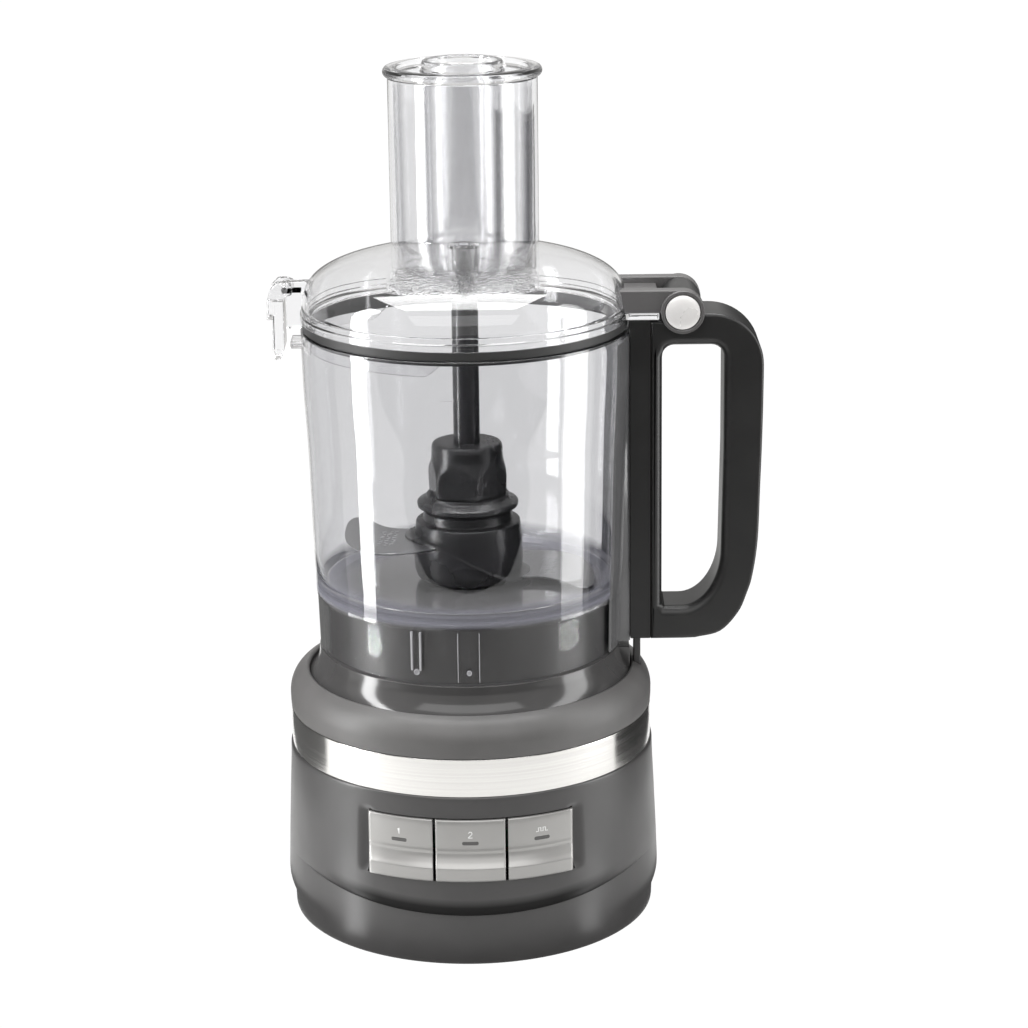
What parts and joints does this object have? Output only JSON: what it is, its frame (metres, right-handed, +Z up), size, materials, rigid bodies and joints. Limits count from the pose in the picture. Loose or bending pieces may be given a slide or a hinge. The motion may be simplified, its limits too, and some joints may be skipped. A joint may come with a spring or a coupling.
{
  "type": "food processor",
  "caption": "Motor base with push buttons, clear handled bowl, hinged clear lid with feed tube and pushers, and a spinning knife hub on a tall stem.",
  "frame": {"origin": "on the drive axis at the plane of the feet", "axes": "+Z up along the drive axis, -Y is the button panel's front, +X is the handle side"},
  "size_m": [0.2407, 0.1924, 0.423],
  "materials": {
    "rubber": "matt moulded rubber",
    "housing": "satin dark grey moulded plastic",
    "inner_black": "plain black moulded plastic",
    "handle_black": "semi-gloss black moulded plastic",
    "hub_black": "gloss black moulded plastic",
    "band_steel": "fine brushed stainless steel",
    "steel": "turned steel",
    "blade_steel": "ground stainless steel",
    "cap_chrome": "bright plated",
    "button_silver": "silver painted plastic, satin",
    "lens": "smoked indicator lens",
    "clear": "clear moulded polymer, polished",
    "seal": "black silicone rubber",
    "gear_white": "natural nylon",
    "copper": "enamelled copper wire",
    "iron": "stacked lamination steel",
    "zinc": "die-cast, satin",
    "board": "green circuit board",
    "carbon": "carbon"
  },
  "bodies": {
    "base": {"feet": "rubber", "base_plate": "housing", "base_screws": "steel", "lower_housing": "housing", "upper_housing": "housing", "trim_band": "band_steel", "shoulder_cover": "housing", "bowl_seat": "housing", "chassis_plate": "zinc", "gearbox_housing": "inner_black", "motor_stator": "iron", "field_coils": "copper", "motor_bracket": "zinc", "brush_holders": "inner_black", "carbon_brushes": "carbon", "motor_bearings": "steel", "idler_shaft": "steel", "spindle_bearings": "steel", "circuit_board": "board", "microswitches": "inner_black", "button_frame": "inner_black", "button_pins": "steel", "cord_gland": "rubber"},
    "spindle": {"drive_gear": "gear_white", "drive_spindle": "steel"},
    "idler": {"idler_gear": "gear_white"},
    "rotor": {"motor_shaft": "steel", "armature": "iron", "commutator": "copper", "cooling_fan": "inner_black", "motor_pinion": "steel"},
    "key_1": {"button_1": "button_silver", "lens_1": "lens"},
    "key_2": {"button_2": "button_silver", "lens_2": "lens"},
    "key_pulse": {"button_pulse": "button_silver", "lens_pulse": "lens"},
    "bowl_unit": {"bowl": "clear", "column_bush": "inner_black", "handle_mount": "handle_black", "handle": "handle_black", "hinge_pin": "steel", "hinge_caps": "cap_chrome"},
    "interlock": {"interlock_rod": "housing"},
    "lid_unit": {"lid": "clear", "feed_tube": "clear", "lid_hinge_bracket": "housing", "lid_seal": "seal", "lid_bush": "inner_black", "latch_pin": "steel"},
    "latch_lever": {"latch": "clear"},
    "food_pusher": {"large_pusher": "clear"},
    "inner_pusher": {"small_pusher": "clear"},
    "stem": {"drive_stem": "hub_black"},
    "knife": {"blade_hub": "hub_black", "hub_grip": "hub_black", "upper_blade": "blade_steel", "lower_blade": "blade_steel"}
  },
  "joints": [
    {"name": "drive_spin", "type": "hinge", "parent": "base", "child": "spindle", "pos_m": [0, 0, 0.1], "axis": [0, 0, 1], "continuous": true},
    {"name": "idler_spin", "type": "hinge", "parent": "base", "child": "idler", "pos_m": [0.02345, 0.01871, 0.088], "axis": [0, 0, 1], "continuous": true},
    {"name": "motor_spin", "type": "hinge", "parent": "base", "child": "rotor", "pos_m": [0, 0.034, 0.05], "axis": [0, 0, 1], "continuous": true},
    {"name": "press_1", "type": "hinge", "parent": "base", "child": "key_1", "pos_m": [-0.03212, -0.08031, 0.075], "axis": [-0.9285, 0.3714, 0], "range_deg": [0, 4], "stiffness_Nm_per_rad": 0.6, "springref_deg": -6.88},
    {"name": "press_2", "type": "hinge", "parent": "base", "child": "key_2", "pos_m": [0, -0.0865, 0.075], "axis": [-1, 0, 0], "range_deg": [0, 4], "stiffness_Nm_per_rad": 0.6, "springref_deg": -6.88},
    {"name": "press_pulse", "type": "hinge", "parent": "base", "child": "key_pulse", "pos_m": [0.03212, -0.08031, 0.075], "axis": [-0.9285, -0.3714, 0], "range_deg": [0, 4], "stiffness_Nm_per_rad": 0.6, "springref_deg": -6.88},
    {"name": "bowl_lift", "type": "slide", "parent": "base", "child": "bowl_unit", "axis": [0, 0, 1], "range_m": [0, 0.06]},
    {"name": "lid_hinge", "type": "hinge", "parent": "bowl_unit", "child": "lid_unit", "pos_m": [0.105, 0, 0.3095], "axis": [0, 1, 0], "range_deg": [0, 95]},
    {"name": "interlock_slide", "type": "slide", "parent": "bowl_unit", "child": "interlock", "axis": [0, 0, 1], "range_m": [0, 0.005]},
    {"name": "latch_pivot", "type": "hinge", "parent": "lid_unit", "child": "latch_lever", "pos_m": [-0.0868, 0, 0.32], "axis": [0, 1, 0], "range_deg": [0, 70]},
    {"name": "pusher_slide", "type": "slide", "parent": "lid_unit", "child": "food_pusher", "axis": [0, 0, 1], "range_m": [0, 0.09]},
    {"name": "small_pusher_slide", "type": "slide", "parent": "food_pusher", "child": "inner_pusher", "axis": [0, 0, 1], "range_m": [0, 0.09]},
    {"name": "blade_spin", "type": "hinge", "parent": "bowl_unit", "child": "stem", "pos_m": [0, 0, 0.218], "axis": [0, 0, 1], "continuous": true},
    {"name": "blade_lift", "type": "slide", "parent": "stem", "child": "knife", "axis": [0, 0, 1], "range_m": [0, 0.06]}
  ],
  "couplings": [
    {"joint": "idler_spin", "follows": "drive_spin", "ratio": -3.2857},
    {"joint": "motor_spin", "follows": "drive_spin", "ratio": 12.048},
    {"joint": "blade_spin", "follows": "drive_spin", "ratio": 1},
    {"joint": "interlock_slide", "follows": "lid_hinge", "m_per_rad": 0.003}
  ]
}
